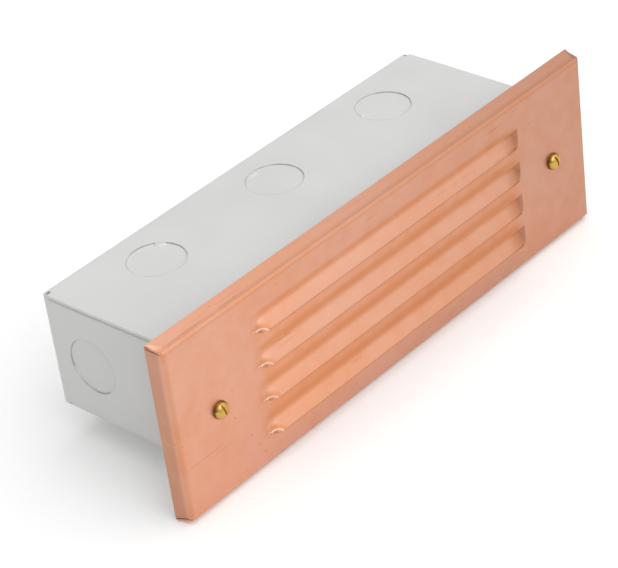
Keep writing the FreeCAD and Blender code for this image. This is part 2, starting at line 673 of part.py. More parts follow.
def face_screw(label, side):
    """Slotted round-head screw; its own frame has the thread along +Y and the head's seat at the origin."""
    item = body(label)
    profile = sketch(item, "XY_Plane")
    dome = "((screw_head ^ 2 + screw_dome ^ 2) / (2 * screw_dome))"
    outline(profile, [
        ("0", "screw_length"),
        ("0", "-screw_dome"),
        ("screw_head", "0", dome, 1),
        ("screw_shank", "0"),
        ("screw_shank", "screw_length - screw_shank / 2"),
        ("screw_shank / 2", "screw_length"),
    ])
    turned(item, "Revolution", profile, "V_Axis")
    profile = sketch(item, "XZ_Plane", "screw_dome + 1")
    rectangle(profile, "-screw_head - 1", "-screw_slot / 2", "screw_head + 1", "screw_slot / 2")
    feature(item, "Pocket", profile, "1 + screw_slot_depth")
    place(item, side + SCREW_PLACE, "-" + PLATE_FRONT, turn=((0, 1, 0), number("screw_slot_angle")))
    tie(item, Placement__Rotation__Angle="screw_slot_angle")


# ---------------------------------------------------------------- inside the housing

def hexagon_post(name, radius, height, bore, bore_depth, x, z):
    post = solid("Prism", name, x, "-housing_sheet", z, TO_FRONT, Circumradius=radius, Height=height)
    hole = solid("Cylinder", name + "_bore", x, "-(housing_sheet + %s - %s)" % (height, bore_depth), z, TO_FRONT,
                 Radius=bore, Height=bore_depth)
    return cut(name + "_tapped", post, hole)


def slotted_screw(name, x, seat, z, shank, length, head, head_height, turn=TO_FRONT, forward=1):
    """Small slotted screw whose head's seat is at y = -seat; forward 1 puts the head on the open side."""
    way = "" if forward > 0 else "-"
    depth = "-(%s)" % seat
    stem = solid("Cylinder", name + "_shank", x, "%s + %s(%s)" % (depth, way, length), z, turn,
                 Radius=shank, Height="%s + %s / 2" % (length, head_height))
    top = solid("Cylinder", name + "_head", x, depth, z, turn, Radius=head, Height=head_height)
    slot = solid("Box", name + "_slot", "%s - %s - 1" % (x, head),
                 "%s - %s(%s) %s small_slot_depth" % (depth, way, head_height, "+" if forward > 0 else "-"),
                 "%s %s small_slot / 2" % (z, "-" if forward > 0 else "+"), turn,
                 Length="%s * 2 + 2" % head, Width="small_slot", Height="small_slot_depth + 1")
    return cut(name, joined(name + "_blank", [stem, top]), slot)


def tray_posts():
    posts = [hexagon_post("tray_post", "standoff_radius", "standoff_height", "small_shank + thread_gap",
                          "standoff_bore_depth", side + "standoff_place", "0") for side in ("-", "")]
    group("tray_standoffs", posts)
    screws = [slotted_screw("tray_screw", side + "standoff_place", TRAY_FACE, "0", "small_shank",
                            "small_screw_length", "small_head", "small_head_height") for side in ("-", "")]
    group("tray_screws", screws)


def reflector_tray():
    """White sheet folded into a trough behind the lamps; it closes off the wiring space."""
    item = body("reflector_tray")
    profile = sketch(item, "YZ_Plane")
    back = "-" + TRAY_BACK
    face = "-" + TRAY_FACE
    outline(profile, [
        (back, "-(%s + tray_sheet)" % TRAY_BASE),
        (back, "%s + tray_sheet" % TRAY_BASE),
        ("-tray_front", "%s + tray_sheet" % TRAY_MOUTH),
        ("-tray_front", TRAY_MOUTH),
        (face, TRAY_BASE),
        (face, "-" + TRAY_BASE),
        ("-tray_front", "-" + TRAY_MOUTH),
        ("-tray_front", "-(%s + tray_sheet)" % TRAY_MOUTH),
    ])
    feature(item, "Pad", profile, "2 * " + TRAY_HALF, symmetric=True)
    profile = sketch(item, "XZ_Plane", TRAY_FACE)
    circle(profile, "0", "0", "small_shank + small_gap")
    for side in ("-", ""):
        circle(profile, side + "standoff_place", "0", "small_shank + small_gap")
        for level in ("-", ""):
            circle(profile, side + HOLDER_MIDDLE, level + "rivet_place", "rivet_radius + rivet_gap")
    feature(item, "Pocket", profile, "tray_sheet * 4", symmetric=True)


def at_holder(item, right):
    """Put a piece drawn about the holder's mouth, the lamp pointing along +X, in its place."""
    if right:
        place(item, MOUTH_PLACE, "-" + AXIS_PLACE, turn=MIRROR_END)
    else:
        place(item, "-" + MOUTH_PLACE, "-" + AXIS_PLACE)


def lampholder(label, right):
    """Moulded wedge-base holder on a riveted foot, with two contact chambers beside its slot."""
    item = body(label)
    profile = sketch(item, "YZ_Plane")
    outline(profile, [
        ("-holder_half", "-holder_half"),
        ("lamp_axis - foot_thickness", "-holder_half"),
        ("lamp_axis - foot_thickness", "-foot_half"),
        ("lamp_axis", "-foot_half"),
        ("lamp_axis", "foot_half"),
        ("lamp_axis - foot_thickness", "foot_half"),
        ("lamp_axis - foot_thickness", "holder_half"),
        ("-holder_half", "holder_half"),
    ])
    feature(item, "Pad", profile, "holder_length", reverse=True)
    profile = sketch(item, "YZ_Plane")
    rectangle(profile, "-slot_half_height", "-slot_half_width", "slot_half_height", "slot_half_width")
    feature(item, "Pocket", profile, "slot_depth")
    half = "(contact_width / 2 + contact_gap)"
    chamber = "(contact_level + contact_sheet / 2 + contact_gap)"
    for level in ("-", ""):
        profile = sketch(item, "YZ_Plane")
        near = "%s(contact_place - %s)" % (level, half)
        far = "%s(contact_place + %s)" % (level, half)
        rectangle(profile, "0", near, level + chamber, far)
        feature(item, "Pocket", profile, "contact_length + 1")
        profile = sketch(item, "YZ_Plane")
        circle(profile, level + "contact_level", level + "contact_place", "lead_radius + lead_gap")
        feature(item, "Pocket", profile, "holder_length")
    profile = sketch(item, "XZ_Plane", "-lamp_axis")
    for level in ("-", ""):
        circle(profile, "-holder_length / 2", level + "rivet_place", "rivet_radius + rivet_gap")
    feature(item, "Pocket", profile, "foot_thickness * 4", symmetric=True)
    at_holder(item, right)


def holder_contacts(label, right):
    """Two sprung leaves, one above and one below the wedge, off to opposite sides."""
    leaves = []
    for level in ("-", ""):
        leaves.append(solid("Box", "contact_leaf", "-contact_length",
                            "%scontact_level - contact_sheet / 2" % level,
                            "%scontact_place - contact_width / 2" % level,
                            Length="contact_length - contact_gap", Width="contact_sheet", Height="contact_width"))
    at_holder(group(label, leaves), right)


def holder_rivets():
    """Four tubular rivets that hold the two lampholders on the tray."""
    rivets = []
    for side in ("-", ""):
        for level in ("-", ""):
            x = side + HOLDER_MIDDLE
            z = level + "rivet_place"
            shank = solid("Cylinder", "rivet_shank", x, "-%s" % TRAY_BACK, z, TO_FRONT,
                          Radius="rivet_radius", Height="tray_sheet + foot_thickness")
            front = solid("Cylinder", "rivet_front", x, "-(%s + foot_thickness)" % TRAY_FACE, z, TO_FRONT,
                          Radius="rivet_head", Height="rivet_head_height")
            back = solid("Cylinder", "rivet_back", x, "rivet_head_height - %s" % TRAY_BACK, z, TO_FRONT,
                         Radius="rivet_head", Height="rivet_head_height")
            rivets.append(joined("rivet", [shank, front, back]))
    group("holder_rivets", rivets)


def lamp_glass(label, right):
    """Blown bulb on a pinched wedge base."""
    item = body(label)
    dome_start = "(neck_out + bulb_shoulder + bulb_straight)"
    inner = "(bulb_radius - bulb_wall)"
    floor = "(neck_out + 2 * bulb_wall)"
    profile = sketch(item, "XY_Plane")
    outline(profile, [
        ("%s + bulb_radius" % dome_start, "0"),
        (dome_start, "bulb_radius", "bulb_radius", 1),
        ("neck_out + bulb_shoulder", "bulb_radius"),
        ("neck_out", "neck_radius"),
        ("neck_out", "0"),
        (floor, "0"),
        (floor, "neck_radius - bulb_wall"),
        ("neck_out + bulb_shoulder", inner),
        (dome_start, inner),
        ("%s + %s" % (dome_start, inner), "0", inner, -1),
    ])
    turned(item, "Revolution", profile, "H_Axis")
    profile = sketch(item, "XY_Plane")
    rectangle(profile, "-wedge_in", "-wedge_half_height", "neck_out + bulb_wall / 2", "wedge_half_height")
    feature(item, "Pad", profile, "wedge_half_width * 2", symmetric=True)
    at_holder(item, right)


def lamp_inner(side_name, right):
    """Filament on its two posts, and the two contact wires folded against the base."""
    posts = [solid("Cylinder", "post", "neck_out + 2 * bulb_wall", "0", level + "filament_half", TO_RIGHT,
                   Radius="post_radius", Height="filament_reach - neck_out - 2 * bulb_wall")
             for level in ("-", "")]
    coil = solid("Cylinder", "coil", "filament_reach", "0", "-filament_half - post_radius",
                 Radius="coil_radius", Height="2 * filament_half + 2 * post_radius")
    at_holder(subpart("lamp_filament_" + side_name, joined("filament", posts + [coil])), right)
    wires = [solid("Cylinder", "contact_wire", "wire_margin - wedge_in",
                   "%s(wedge_half_height + wire_radius)" % level, level + "contact_place", TO_RIGHT,
                   Radius="wire_radius", Height="wedge_in - 2 * wire_margin") for level in ("-", "")]
    at_holder(group("lamp_contacts_" + side_name, wires), right)


def terminal_block():
    """Two-pole block under the tray: brass tubes, four clamp screws, one fixing screw."""
    item = body("terminal_block")
    profile = sketch(item, "XY_Plane")
    rectangle(profile, "-block_half", "-" + TRAY_BACK, "block_half", "-(%s - block_height)" % TRAY_BACK)
    feature(item, "Pad", profile, "block_half_width * 2", symmetric=True)
    profile = sketch(item, "YZ_Plane")
    for level in ("-", ""):
        circle(profile, "-" + LEAD_PLANE, level + "contact_place", "clamp_radius + clamp_gap")
    feature(item, "Pocket", profile, "block_half * 2 + 2", symmetric=True)
    profile = sketch(item, "XZ_Plane", "%s - block_height" % TRAY_BACK)
    for side in ("-", ""):
        for level in ("-", ""):
            circle(profile, side + "clamp_screw_place", level + "contact_place", "clamp_head_radius + small_gap")
    feature(item, "Pocket", profile, "block_height / 2", reverse=True)
    profile = sketch(item, "XZ_Plane", TRAY_BACK)
    circle(profile, "0", "0", "clamp_screw_radius")
    feature(item, "Pocket", profile, "block_screw_length")

    tubes = []
    screws = []
    for level in ("-", ""):
        z = level + "contact_place"
        tube = solid("Cylinder", "tube", "-clamp_half", "-" + LEAD_PLANE, z, TO_RIGHT,
                     Radius="clamp_radius", Height="clamp_half * 2")
        bore = solid("Cylinder", "tube_bore", "-clamp_half - 1", "-" + LEAD_PLANE, z, TO_RIGHT,
                     Radius="lead_radius + lead_gap", Height="clamp_half * 2 + 2")
        holes = [solid("Cylinder", "tube_tap", side + "clamp_screw_place", "-" + LEAD_PLANE, z, TO_BACK,
                       Radius="clamp_screw_radius + thread_gap", Height="clamp_radius + 1") for side in ("-", "")]
        tubes.append(cut("terminal_tube", tube, joined("tube_cuts", [bore] + holes)))
        for side in ("-", ""):
            screws.append(slotted_screw("clamp_screw", side + "clamp_screw_place",
                                        "%s - clamp_radius" % LEAD_PLANE, z, "clamp_screw_radius",
                                        "clamp_radius - lead_radius - lead_gap", "clamp_head_radius",
                                        "clamp_head_height", TO_BACK, -1))
    group("terminal_tubes", tubes)
    group("terminal_screws", screws)
    subpart("block_screw", slotted_screw("block_fastener", "0", TRAY_FACE, "0", "clamp_screw_radius - small_gap / 2",
                                         "tray_sheet + block_screw_length - 2 * tip_gap", "small_head",
                                         "small_head_height"))


def lead(side, start, level):
    """A lead's tube from its holder round the tray's end to the terminal block, in one level plane."""
    sign = -1 if side == "-" else 1
    z = number(level + "contact_place")
    bend = number("lead_bend")
    start_x = sign * number(MOUTH_PLACE + " + holder_length - lead_tail")
    turn_x = sign * number(MOUTH_PLACE + " + holder_length + lead_run")
    far_x = turn_x + sign * bend
    end_x = sign * number("clamp_half - lead_short")
    start_y = -number("%s %s contact_level" % (AXIS_PLACE, start))
    end_y = -number(LEAD_PLANE)
    slant = bend * math.sqrt(0.5)

    def at(x, y):
        return FreeCAD.Vector(x, y, z)

    edges = [
        Part.LineSegment(at(start_x, start_y), at(turn_x, start_y)),
        Part.Arc(at(turn_x, start_y), at(turn_x + sign * slant, start_y + bend - slant),
                 at(far_x, start_y + bend)),
        Part.LineSegment(at(far_x, start_y + bend), at(far_x, end_y - bend)),
        Part.Arc(at(far_x, end_y - bend), at(turn_x + sign * slant, end_y - bend + slant), at(turn_x, end_y)),
        Part.LineSegment(at(turn_x, end_y), at(end_x, end_y)),
    ]
    path = Part.Wire([edge.toShape() for edge in edges])
    ring = Part.Wire(Part.Circle(at(start_x, start_y), FreeCAD.Vector(1, 0, 0), number("lead_radius")).toShape())
    tube = path.makePipeShell([ring], True, False)
    print("lead", side, level, "length %.1f" % path.Length, "radius %.1f" % bend,
          "volume share %.4f" % (tube.Volume / (path.Length * math.pi * number("lead_radius") ** 2)))
    return tube


def leads():
    for label, level, starts in (("leads_black", "", ("-", "+")), ("leads_white", "-", ("+", "-"))):
        item = document.addObject("Part::Feature", label)
        item.Shape = Part.makeCompound([lead(side, start, level) for side, start in zip(("-", ""), starts)])
        item.Placement = FreeCAD.Placement()
        subpart(label, item)


def grounding():
    boss = hexagon_post("ground_hexagon", "ground_boss_radius", "ground_boss_height", "ground_shank + thread_gap",
                        "ground_bore_depth", GROUND_PLACE, "-ground_drop")
    subpart("ground_boss", boss)
    screw = slotted_screw("ground_fastener", GROUND_PLACE, "housing_sheet + ground_boss_height", "-ground_drop",
                          "ground_shank", "ground_bore_depth - tip_gap", "ground_head", "small_head_height")
    subpart("ground_screw", screw)


# ---------------------------------------------------------------- the whole light

housing_box()
screw_ear("screw_ear_left", False)
screw_ear("screw_ear_right", True)
tray_posts()
grounding()
reflector_tray()
for name, on_right in (("left", False), ("right", True)):
    lampholder("lampholder_" + name, on_right)
    holder_contacts("holder_contacts_" + name, on_right)
    lamp_glass("lamp_glass_" + name, on_right)
    lamp_inner(name, on_right)
holder_rivets()
terminal_block()
leads()
faceplate()
diffuser_lens()
gasket()
face_screw("face_screw_left", "-")
face_screw("face_screw_right", "")
document.recompute()

failed = [item.Label for item in document.Objects if {"Invalid", "Error"} & set(item.State)]
for item in subparts:
    if item.Shape.isNull() or not item.Shape.isValid() or not item.Shape.Solids:
        failed.append(item.Label)
if failed:
    raise RuntimeError("not sound: " + ", ".join(failed))

os.makedirs("parts", exist_ok=True)
for item in subparts:
    item.Shape.exportStep("parts/%s.step" % item.Label)
    box = item.Shape.optimalBoundingBox(False)
    print("%-24s %2d solids  x %7.2f %7.2f  y %7.2f %7.2f  z %7.2f %7.2f  %9.1f mm3" % (
        item.Label, len(item.Shape.Solids), box.XMin, box.XMax, box.YMin, box.YMax, box.ZMin, box.ZMax,
        item.Shape.Volume))
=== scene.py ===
"""Recessed louvred step light: the looks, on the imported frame, in metres.

The file follows the light as it is put together, from the folded box to the faceplate and its
screws, and ends with the studio.
"""

import math

import bmesh
import bpy
from mathutils import Matrix, Vector


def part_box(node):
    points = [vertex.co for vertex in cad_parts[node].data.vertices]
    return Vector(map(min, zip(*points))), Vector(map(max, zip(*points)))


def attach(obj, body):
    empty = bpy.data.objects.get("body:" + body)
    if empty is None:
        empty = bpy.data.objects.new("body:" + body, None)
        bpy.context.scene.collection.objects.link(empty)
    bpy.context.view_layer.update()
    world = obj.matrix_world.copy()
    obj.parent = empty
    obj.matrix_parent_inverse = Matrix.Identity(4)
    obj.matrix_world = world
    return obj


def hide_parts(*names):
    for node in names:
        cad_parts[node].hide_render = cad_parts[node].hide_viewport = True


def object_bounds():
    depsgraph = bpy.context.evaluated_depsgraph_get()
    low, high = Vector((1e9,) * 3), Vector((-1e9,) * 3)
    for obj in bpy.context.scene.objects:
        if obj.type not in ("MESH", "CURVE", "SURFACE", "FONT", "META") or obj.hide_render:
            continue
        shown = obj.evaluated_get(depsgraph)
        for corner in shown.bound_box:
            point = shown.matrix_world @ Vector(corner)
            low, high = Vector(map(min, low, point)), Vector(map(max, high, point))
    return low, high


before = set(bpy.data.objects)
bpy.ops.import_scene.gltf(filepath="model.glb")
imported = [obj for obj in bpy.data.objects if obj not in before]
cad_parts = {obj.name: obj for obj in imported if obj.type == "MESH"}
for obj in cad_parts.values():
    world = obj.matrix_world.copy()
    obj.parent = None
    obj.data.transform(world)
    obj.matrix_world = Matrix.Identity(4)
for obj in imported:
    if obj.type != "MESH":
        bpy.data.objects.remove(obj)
cad_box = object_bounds()


# ------------------------------------------------------------------ camera
# A long lens in front of the light's left end and above it, placed by fitting the corners,
# the knockouts and the screws of the light.

MM = 0.001
FOCAL_PIXELS, PICTURE_PIXELS = 2394.2, 618

sight = bpy.data.cameras.new("sight")
sight.sensor_width = 36.0
sight.lens = FOCAL_PIXELS / PICTURE_PIXELS * sight.sensor_width
camera = bpy.data.objects.new("sight", sight)
bpy.context.scene.collection.objects.link(camera)
right = Vector((0.65677, -0.74524, -0.11522)).normalized()
ahead = Vector((0.58455, 0.59965, -0.54656)).normalized()
over = right.cross(ahead)
turn = Matrix((right, over, -ahead)).transposed()
camera.matrix_world = Matrix.Translation(Vector((-533.57, -578.61, 479.82)) * MM) @ turn.to_4x4()
bpy.context.scene.camera = camera


# ------------------------------------------------------------------ housing box
# One blank of 1.2 mm steel, sheared, folded and powder coated in white after folding. The coat
# is a little cloudy, with the faint skin that such powder leaves.

class Socket:
    """A node's output that takes part in sums, so that a pattern reads as arithmetic."""

    def __init__(self, tree, source):
        self.tree = tree
        self.source = source

    def made(self, kind, settings=None, out=0, **inputs):
        """Any node, its settings first and then its inputs, by name or as _0, _1 by number."""
        node = self.tree.nodes.new(kind if "Node" in kind else "ShaderNode" + kind)
        for name, value in (settings or {}).items():
            setattr(node, name, value)
        for name, value in inputs.items():
            key = int(name[1:]) if name[0] == "_" else name.replace("_", " ")
            feed(self.tree, node.inputs[key], value)
        return Socket(self.tree, node.outputs[out])

    def maths(self, operation, *values):
        inputs = {"_%d" % index: value for index, value in enumerate(values)}
        return self.made("Math", {"operation": operation}, **inputs)

    def __add__(self, other):
        return self.maths("ADD", self, other)

    def __sub__(self, other):
        return self.maths("SUBTRACT", self, other)

    def __rsub__(self, other):
        return self.maths("SUBTRACT", other, self)

    def __mul__(self, other):
        return self.maths("MULTIPLY", self, other)

    def __truediv__(self, other):
        return self.maths("DIVIDE", self, other)

    __radd__ = __add__
    __rmul__ = __mul__

    def fraction(self):
        """What is left of the value above the whole number below it."""
        return self.maths("FRACT", self)

    def size(self):
        """The value without its sign."""
        return self.maths("ABSOLUTE", self)

    def part(self, axis):
        """One of the three numbers of a place, 0 for x, 1 for y and 2 for z."""
        return self.made("SeparateXYZ", out=axis, Vector=self)

    def ramp(self, low, high, to_low=0.0, to_high=1.0, **settings):
        """This value spread evenly from low..high onto to_low..to_high and held at the ends."""
        return self.made("MapRange", settings, Value=self, From_Min=low, From_Max=high,
                         To_Min=to_low, To_Max=to_high)

    def between(self, low, high, to_low=0.0, to_high=1.0):
        """The same as a ramp, but with a smooth start and end."""
        return self.ramp(low, high, to_low, to_high, interpolation_type="SMOOTHSTEP")

    def tint(self, under, above):
        """The colour that goes from under, where this is 0, to above, where it is 1."""
        return self.made("Mix", {"data_type": "RGBA"}, 2, _0=self, _6=under, _7=above)


def feed(tree, socket, value):
    """Link a node's output to an input, or set the input to a number, a colour or a thing."""
    if isinstance(value, Socket):
        tree.links.new(value.source, socket)
    elif socket.type == "RGBA" and len(value) == 3:
        socket.default_value = (*value, 1.0)
    else:
        socket.default_value = value


def finish_named(name, **constants):
    """A material with its main shader's constants set; gives it, the shader and the place on the piece."""
    material = bpy.data.materials.new(name)
    material.use_nodes = True
    shader = material.node_tree.nodes["Principled BSDF"]
    for socket, value in constants.items():
        feed(material.node_tree, shader.inputs[socket.replace("_", " ")], value)
    seat = Socket(material.node_tree, None).made("TexCoord", out=3)
    return material, shader, seat


def noise(seat, scale, detail, stretch=(1, 1, 1)):
    """Cloudy pattern of a grain given per metre, stretched along an axis by the factors."""
    stretched = seat.made("Mapping", Vector=seat, Scale=stretch)
    return seat.made("TexNoise", Vector=stretched, Scale=scale, Detail=detail)


def paint(shader, **inputs):
    """Feed what changes over the surface."""
    for socket, value in inputs.items():
        feed(value.tree, shader.inputs[socket.replace("_", " ")], value)


def relief(height, depth, strength):
    """A bump whose full height is the depth in metres."""
    return height.made("Bump", Height=height, Distance=depth, Strength=strength)


def clothe(material, *names):
    """Put a finish on CAD nodes in place of the plain one."""
    for name in names:
        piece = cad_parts[name]
        piece.data.materials.clear()
        piece.data.materials.append(material)


# Round each sunk slug of the knockouts runs a thin grey line of painted shade, for the shade in the slug's
# step.
SLUG, SLUG_DEPTH, SLUG_SPACING, SLUG_ROW = 11.1 * MM, 20.7 * MM, 63.5 * MM, 80.0 * MM
TOP_FACE, END_FACE, FACE_SKIN = 24.4 * MM, 101.5 * MM, 0.5 * MM
LINE_EDGE, LINE_CORE = 0.32 * MM, 0.12 * MM


def slug_shade_line(first, second, face, out):
    """The painted shade line round a slug, given by two distances from its middle, on the face that is so far
    out.
    """
    ring = first.maths("SQRT", first * first + second * second) - SLUG
    return ring.size().between(LINE_EDGE, LINE_CORE) * face.between(out - FACE_SKIN, out - 0.8 * FACE_SKIN)


powder_coat, coat_shader, seat = finish_named("powder_coat", Specular_IOR_Level=0.45)
clouds = noise(seat, 30.0, 3.0)
skin = noise(seat, 900.0, 2.0)
over_back = seat.part(1) + SLUG_DEPTH
from_slug = seat.part(0).maths("WRAP", seat.part(0), SLUG_SPACING / 2, -SLUG_SPACING / 2)
slug_shade_rings = slug_shade_line(from_slug, over_back, seat.part(2), TOP_FACE)
slug_shade_rings = slug_shade_rings * seat.part(0).size().between(SLUG_ROW, SLUG_ROW - MM)
slug_shade_rings = slug_shade_rings + slug_shade_line(over_back, seat.part(2), seat.part(0).size(), END_FACE)
slug_shade = slug_shade_rings * noise(seat, 160.0, 2.0).between(0.30, 0.60, 0.15, 0.75)
coat = clouds.between(0.3, 0.7).tint((0.665, 0.665, 0.652), (0.695, 0.695, 0.682))
# The coat, with the painted shade lines round the slugs in grey.
paint(coat_shader,
      Base_Color=slug_shade.tint(coat, (0.42, 0.42, 0.415)),
      Roughness=clouds.between(0.3, 0.7, 0.42, 0.52),
      Normal=relief(skin, 0.04 * MM, 0.35))
clothe(powder_coat, "housing_box")


# ------------------------------------------------------------------ brackets, posts and screws inside
# Small steel parts with a bright zinc plate: two bent ears welded to the end walls, the tray's
# two posts, the grounding boss, and the screws that go into them. The grounding screw is green.

zinc_plate, zinc_shader, seat = finish_named("zinc_plate", Metallic=1.0)
spangle = noise(seat, 260.0, 3.0)
streak = noise(seat, 90.0, 4.0, stretch=(1, 6, 6))
paint(zinc_shader,
      Base_Color=spangle.between(0.35, 0.65).tint((0.56, 0.57, 0.59), (0.68, 0.69, 0.71)),
      Roughness=streak.between(0.3, 0.7, 0.24, 0.42),
      Normal=relief(streak, 0.03 * MM, 0.4))
clothe(zinc_plate, "screw_ear_left", "screw_ear_right", "tray_standoffs", "ground_boss")

green_plate, green_shader, seat = finish_named("green_plate", Metallic=0.6)
wear = noise(seat, 700.0, 3.0)
paint(green_shader,
      Base_Color=wear.between(0.45, 0.7).tint((0.03, 0.20, 0.07), (0.09, 0.32, 0.14)),
      Roughness=wear.between(0.3, 0.7, 0.28, 0.45))


def growth(name, *lengths):
    """A tree that takes places, some lengths and a finish, and makes a mesh; gives it and its inputs."""
    tree = bpy.data.node_groups.new(name, "GeometryNodeTree")
    kinds = {"Places": "Geometry", **dict.fromkeys(lengths, "Float"), "Finish": "Material"}
    for label, kind in kinds.items():
        tree.interface.new_socket(label, in_out="INPUT", socket_type="NodeSocket" + kind)
    tree.interface.new_socket("Piece", in_out="OUTPUT", socket_type="NodeSocketGeometry")
    start = tree.nodes.new("NodeGroupInput")
    return tree, {socket.name: Socket(tree, socket) for socket in start.outputs if socket.name}


def flat_sheet(tree, rows, around):
    """A sheet to wrap round an axis; gives it and each point's way round and along, from 0 to 1."""
    sheet = Socket(tree, None).made("GeometryNodeMeshGrid", Size_X=1.0, Size_Y=1.0,
                                    Vertices_X=around + 1, Vertices_Y=rows + 1)
    point = sheet.made("GeometryNodeInputPosition")
    return sheet, point.part(0) + 0.5, point.part(1) + 0.5


def wrapped(sheet, around, reach, depth):
    """The sheet closed round the Y axis, at the reach from the axis and the depth along it."""
    angle = around * 2.0 * math.pi
    place = angle.made("CombineXYZ", X=reach * angle.maths("COSINE", angle), Y=depth,
                       Z=reach * angle.maths("SINE", angle))
    open_skin = sheet.made("GeometryNodeSetPosition", Geometry=sheet, Position=place)
    return sheet.made("GeometryNodeMergeByDistance", Geometry=open_skin, Distance=0.002 * MM)


def spread(tree, shape, given):
    """One copy of the shape at each place, as a real mesh with the given finish, as the tree's result."""
    seats = shape.made("GeometryNodeMeshToPoints", Mesh=given["Places"])
    copies = shape.made("GeometryNodeInstanceOnPoints", Points=seats, Instance=shape)
    real = shape.made("GeometryNodeRealizeInstances", Geometry=copies)
    done = shape.made("GeometryNodeSetMaterial", Geometry=real, Material=given["Finish"])
    end = tree.nodes.new("NodeGroupOutput")
    tree.links.new(done.source, end.inputs[0])


def grow(name, tree, body, slot, places, replaced, **values):
    """The plain mesh that a tree makes at the places, riding on a body in place of CAD nodes."""
    mesh = bpy.data.meshes.new(name)
    mesh.from_pydata(places, [], [])
    piece = bpy.data.objects.new(name, mesh)
    bpy.context.scene.collection.objects.link(piece)
    modifier = piece.modifiers.new(name, "NODES")
    modifier.node_group = tree
    for item in tree.interface.items_tree:
        if item.item_type == "SOCKET" and item.name in values:
            modifier[item.identifier] = values[item.name]
    bpy.context.view_layer.update()
    made = bpy.data.meshes.new_from_object(piece.evaluated_get(bpy.context.evaluated_depsgraph_get()))
    piece.modifiers.clear()
    piece.data = made
    shape = bmesh.new()
    shape.from_mesh(made)
    bmesh.ops.recalc_face_normals(shape, faces=shape.faces)
    shape.to_mesh(made)
    shape.free()
    made.shade_smooth()
    made.set_sharp_from_angle(angle=math.radians(32.0))
    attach(piece, body)
    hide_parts(*replaced)


# A slotted screw is one skin wrapped round the thread's axis, +Y from the head's seat: rows of
# points run down the head's side, in under it, and along the ridged shank to the chamfered tip.

HEAD_ROWS, SCREW_ROWS, RUN_IN, RUN_OUT = 14, 240, 12, 6
THREAD_DEPTH, CHAMFER, TIP = 0.61, 0.35, 0.45
screw_tree, given = growth("slotted_screw", "Head", "Height", "Fullness", "Shank", "Length", "Pitch", "Slot",
                           "Slot_depth", "Turn", "Flip")
head_row, seat_row, first_row, full_row, last_row, end_row = (
    row / SCREW_ROWS for row in (HEAD_ROWS, HEAD_ROWS + 1, HEAD_ROWS + 2, HEAD_ROWS + 2 + RUN_IN,
                                 SCREW_ROWS - RUN_OUT, SCREW_ROWS - 1))
sheet, around, along = flat_sheet(screw_tree, SCREW_ROWS, 48)
climb = along.ramp(0.0, head_row, 0.0, math.pi / 2)
dome_top = given["Height"] * climb.maths("POWER", climb.maths("COSINE", climb), given["Fullness"])
side = given["Head"] * climb.maths("POWER", climb.maths("SINE", climb), given["Fullness"])
chamfer = given["Shank"] * CHAMFER
root = given["Shank"] - THREAD_DEPTH * given["Pitch"]
depth = along.ramp(first_row, last_row, 0.0, given["Length"] - chamfer)
depth = depth + along.ramp(last_row, 1.0, 0.0, chamfer)
ridge = 2.0 * depth.maths("PINGPONG", depth / given["Pitch"] + around, 0.5)
cut = ridge * along.ramp(first_row, full_row) * along.ramp(last_row, 1.0, 1.0, 0.0)
stem = along.ramp(head_row, seat_row, 0.0, given["Head"] - root) + along.ramp(last_row, 1.0, 0.0, root * TIP)
reach = (side - stem + cut * (given["Shank"] - root)) * along.ramp(end_row, 1.0, 1.0, 0.0)
blank = wrapped(sheet, around, reach, depth - dome_top)
driver_size = sheet.made("CombineXYZ", X=given["Head"] * 3.0, Y=given["Slot_depth"] * 2.0, Z=given["Slot"])
driver = sheet.made("GeometryNodeMeshCube", Size=driver_size)
lifted = sheet.made("GeometryNodeTransform", Geometry=driver,
                    Translation=sheet.made("CombineXYZ", Y=0.0 - given["Height"]))
slotted = sheet.made("GeometryNodeMeshBoolean", {"operation": "DIFFERENCE", "solver": "EXACT"},
                     _0=blank, _1=lifted)
spread(screw_tree, sheet.made("GeometryNodeTransform", Geometry=slotted,
                              Rotation=sheet.made("CombineXYZ", X=given["Flip"], Y=given["Turn"])), given)

# Small heads are made a hair smaller than the plain ones that they stand for.
INSIDE, PAN, PAN_HEIGHT, CLAMP, CLAMP_HEIGHT = 0.998, 2.7 * MM, 1.7 * MM, 1.6 * MM, 1.4 * MM


def pan_screws(name, node, slot, finish, head, sides=(0,), **sizes):
    """Round-head screws at the left end (-1), the middle (0) or the right end (1) of a CAD group."""
    low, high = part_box(node)
    columns = {-1: low.x + head, 0: (low.x + high.x) / 2, 1: high.x - head}
    places = [(columns[side], low.y + PAN_HEIGHT, (low.z + high.z) / 2) for side in sides]
    grow(name, screw_tree, "housing", slot, places, [node], Finish=finish, Head=head * INSIDE,
         Height=PAN_HEIGHT * INSIDE, Fullness=0.45, Length=high.y - low.y - PAN_HEIGHT, Slot=0.7 * MM,
         Slot_depth=0.8 * MM, **sizes)


def four_places(node, head, seat_y):
    """The seats of a CAD group of four round heads, two on each side of the middle."""
    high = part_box(node)[1]
    out_x, out_z = high.x - head, high.z - head
    return [(x, seat_y, z) for x in (-out_x, out_x) for z in (-out_z, out_z)]


pan_screws("tray_screw_pair", "tray_screws", "zinc_steel", zinc_plate, PAN, (-1, 1),
           Shank=1.45 * MM, Pitch=0.5 * MM)
pan_screws("block_fixing_screw", "block_screw", "zinc_steel", zinc_plate, PAN, Shank=1.1 * MM, Pitch=0.5 * MM)
low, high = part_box("terminal_screws")
seat_y = high.y - CLAMP_HEIGHT
grow("clamp_screws", screw_tree, "housing", "zinc_steel", four_places("terminal_screws", CLAMP, seat_y),
     ["terminal_screws"], Finish=zinc_plate, Head=CLAMP * INSIDE, Height=CLAMP_HEIGHT * INSIDE, Fullness=0.45,
     Shank=1.2 * MM, Length=seat_y - low.y, Pitch=0.45 * MM, Slot=0.6 * MM, Slot_depth=0.7 * MM,
     Flip=math.pi)
pan_screws("green_screw", "ground_screw", "green_screw", green_plate, 4.2 * MM,
           Shank=2.0 * MM, Pitch=0.79 * MM)


